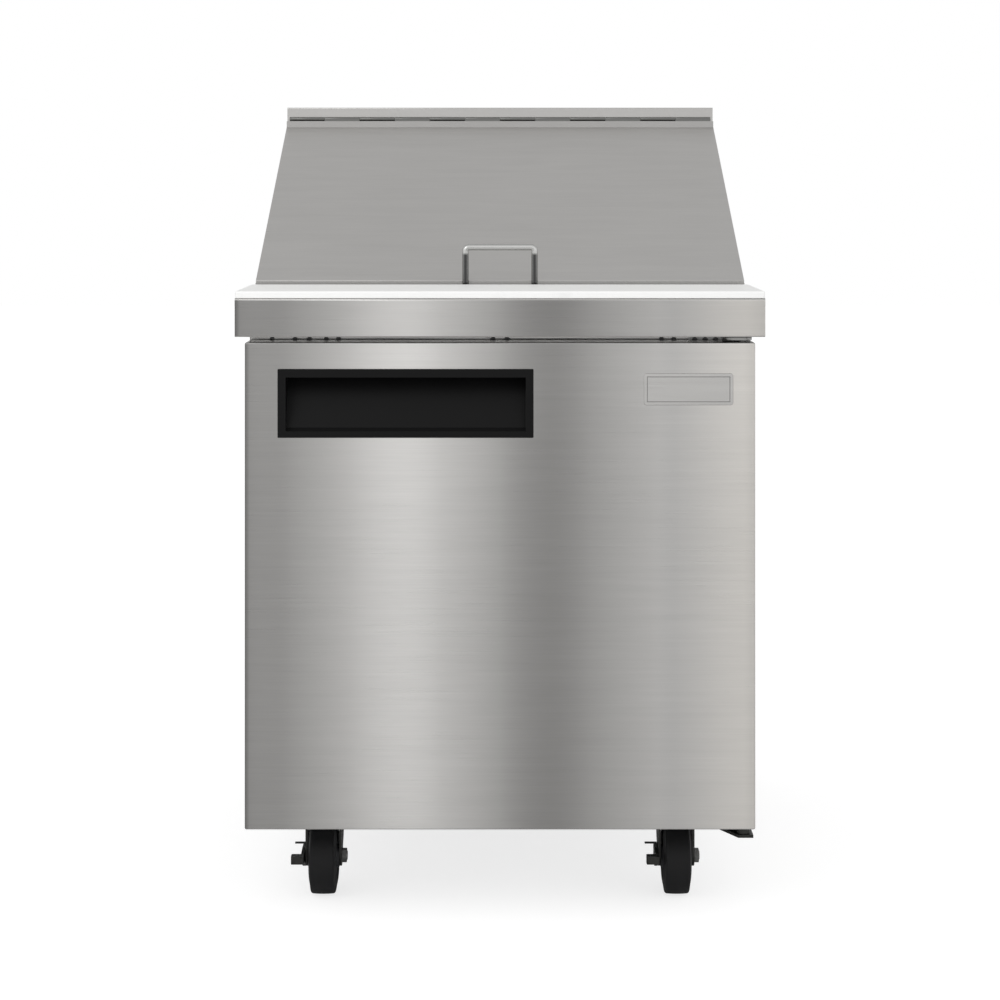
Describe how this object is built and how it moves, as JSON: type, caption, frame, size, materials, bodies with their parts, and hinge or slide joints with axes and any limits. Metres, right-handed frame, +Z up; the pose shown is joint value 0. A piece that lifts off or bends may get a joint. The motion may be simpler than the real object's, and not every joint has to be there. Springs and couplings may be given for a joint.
{
  "type": "sandwich prep table",
  "caption": "Refrigerated sandwich prep table with a hinged sloped lid over a food pan well, a cutting board, a full-height door with a recessed handle, and swivel casters.",
  "frame": {"origin": "on the floor under the centre of the bounding box", "axes": "+Z up, -Y out of the door side, +X towards the hinge side of the door"},
  "size_m": [0.6984, 0.762, 1.0927],
  "materials": {
    "cabinet_steel": "horizontally brushed",
    "lid_steel": "satin",
    "galvanised": "galvanised sheet",
    "liner_aluminium": "mill",
    "foam": "rigid foam",
    "white_poly": "fine matt",
    "black_plastic": "fine grain",
    "gasket": "matt",
    "tyre": "matt",
    "zinc_plate": "zinc plated",
    "polished_steel": "polished",
    "pan_steel": "satin",
    "epoxy_wire": "epoxy coat",
    "compressor_paint": "black gloss",
    "copper": "drawn copper",
    "fin_aluminium": "fins",
    "grey_plastic": "moulded"
  },
  "bodies": {
    "cabinet": {"side_panel_left": "cabinet_steel", "side_panel_right": "cabinet_steel", "floor_panel": "galvanised", "face_frame": "cabinet_steel", "inner_liner": "liner_aluminium", "insulation": "foam", "rear_upper_panel": "galvanised", "rear_grille": "galvanised", "counter_top": "cabinet_steel", "board_pins": "polished_steel", "pan_divider_bar": "pan_steel", "food_pans": "pan_steel", "shelf_supports": "zinc_plate", "wire_shelf": "epoxy_wire", "hood_housing": "lid_steel", "hood_foam": "foam", "lid_hinge_fixed_leaf": "lid_steel", "lid_hinge_pin": "polished_steel", "top_hinge_bracket": "zinc_plate", "bottom_hinge_bracket": "zinc_plate", "face_screws": "black_plastic", "caster_plates": "zinc_plate", "caster_bolts": "zinc_plate", "compressor": "compressor_paint", "condenser_coil": "fin_aluminium", "condenser_fan_shroud": "galvanised", "fan_motors": "compressor_paint", "filter_drier": "copper", "refrigerant_lines": "copper", "condensate_pan": "grey_plastic", "evaporator_coil": "fin_aluminium", "evaporator_housing": "liner_aluminium", "power_cord": "black_plastic"},
    "door": {"door_outer_skin": "cabinet_steel", "door_inner_panel": "liner_aluminium", "door_foam": "foam", "door_gasket": "gasket", "door_handle": "black_plastic", "badge_plate": "polished_steel", "door_hinge_bushes": "grey_plastic"},
    "lid": {"lid_outer_skin": "lid_steel", "lid_inner_panel": "lid_steel", "lid_foam": "foam", "lid_handle": "polished_steel", "lid_hinge_moving_leaf": "lid_steel"},
    "board": {"cutting_board": "white_poly"},
    "condenser_fan": {"condenser_fan_blade": "grey_plastic"},
    "evaporator_fan": {"evaporator_fan_blade": "grey_plastic"},
    "knob": {"thermostat_knob": "black_plastic"},
    "rocker": {"power_rocker": "black_plastic"},
    "fork_front_left": {"caster_fork_front_left": "zinc_plate"},
    "wheel_front_left": {"caster_wheel_front_left": "tyre"},
    "fork_front_right": {"caster_fork_front_right": "zinc_plate"},
    "wheel_front_right": {"caster_wheel_front_right": "tyre"},
    "fork_rear_left": {"caster_fork_rear_left": "zinc_plate"},
    "wheel_rear_left": {"caster_wheel_rear_left": "tyre"},
    "fork_rear_right": {"caster_fork_rear_right": "zinc_plate"},
    "wheel_rear_right": {"caster_wheel_rear_right": "tyre"},
    "brake_front_left": {"brake_lever_front_left": "zinc_plate"},
    "brake_front_right": {"brake_lever_front_right": "zinc_plate"}
  },
  "joints": [
    {"name": "door_swing", "type": "hinge", "parent": "cabinet", "child": "door", "pos_m": [0.3236, -0.345, 0.44], "axis": [0, 0, 1], "range_deg": [0, 115]},
    {"name": "lid_lift", "type": "hinge", "parent": "cabinet", "child": "lid", "pos_m": [0, 0.3042, 1.0743], "axis": [-1, 0, 0], "range_deg": [0, 120]},
    {"name": "board_lift", "type": "slide", "parent": "cabinet", "child": "board", "axis": [0, 0, 1], "range_m": [0, 0.06]},
    {"name": "condenser_fan_spin", "type": "hinge", "parent": "cabinet", "child": "condenser_fan", "pos_m": [0.155, 0.278, 0.285], "axis": [0, 1, 0], "continuous": true},
    {"name": "evaporator_fan_spin", "type": "hinge", "parent": "cabinet", "child": "evaporator_fan", "pos_m": [0, 0.243, 0.627], "axis": [0, 1, 0], "continuous": true},
    {"name": "thermostat_turn", "type": "hinge", "parent": "cabinet", "child": "knob", "pos_m": [0.175, 0.234, 0.627], "axis": [0, 1, 0], "range_deg": [-135, 135]},
    {"name": "power_rock", "type": "hinge", "parent": "cabinet", "child": "rocker", "pos_m": [-0.262, 0.344, 0.425], "axis": [1, 0, 0], "range_deg": [-14, 0]},
    {"name": "swivel_front_left", "type": "hinge", "parent": "cabinet", "child": "fork_front_left", "pos_m": [-0.241, -0.223, 0.11], "axis": [0, 0, 1], "continuous": true},
    {"name": "roll_front_left", "type": "hinge", "parent": "fork_front_left", "child": "wheel_front_left", "pos_m": [-0.241, -0.255, 0.0508], "axis": [1, 0, 0], "continuous": true},
    {"name": "swivel_front_right", "type": "hinge", "parent": "cabinet", "child": "fork_front_right", "pos_m": [0.241, -0.223, 0.11], "axis": [0, 0, 1], "continuous": true},
    {"name": "roll_front_right", "type": "hinge", "parent": "fork_front_right", "child": "wheel_front_right", "pos_m": [0.241, -0.255, 0.0508], "axis": [1, 0, 0], "continuous": true},
    {"name": "swivel_rear_left", "type": "hinge", "parent": "cabinet", "child": "fork_rear_left", "pos_m": [-0.241, 0.313, 0.11], "axis": [0, 0, 1], "continuous": true},
    {"name": "roll_rear_left", "type": "hinge", "parent": "fork_rear_left", "child": "wheel_rear_left", "pos_m": [-0.241, 0.281, 0.0508], "axis": [1, 0, 0], "continuous": true},
    {"name": "swivel_rear_right", "type": "hinge", "parent": "cabinet", "child": "fork_rear_right", "pos_m": [0.241, 0.313, 0.11], "axis": [0, 0, 1], "continuous": true},
    {"name": "roll_rear_right", "type": "hinge", "parent": "fork_rear_right", "child": "wheel_rear_right", "pos_m": [0.241, 0.281, 0.0508], "axis": [1, 0, 0], "continuous": true},
    {"name": "brake_press_front_left", "type": "hinge", "parent": "fork_front_left", "child": "brake_front_left", "pos_m": [-0.2683, -0.255, 0.0508], "axis": [1, 0, 0], "range_deg": [0, 12]},
    {"name": "brake_press_front_right", "type": "hinge", "parent": "fork_front_right", "child": "brake_front_right", "pos_m": [0.2137, -0.255, 0.0508], "axis": [1, 0, 0], "range_deg": [0, 12]}
  ]
}
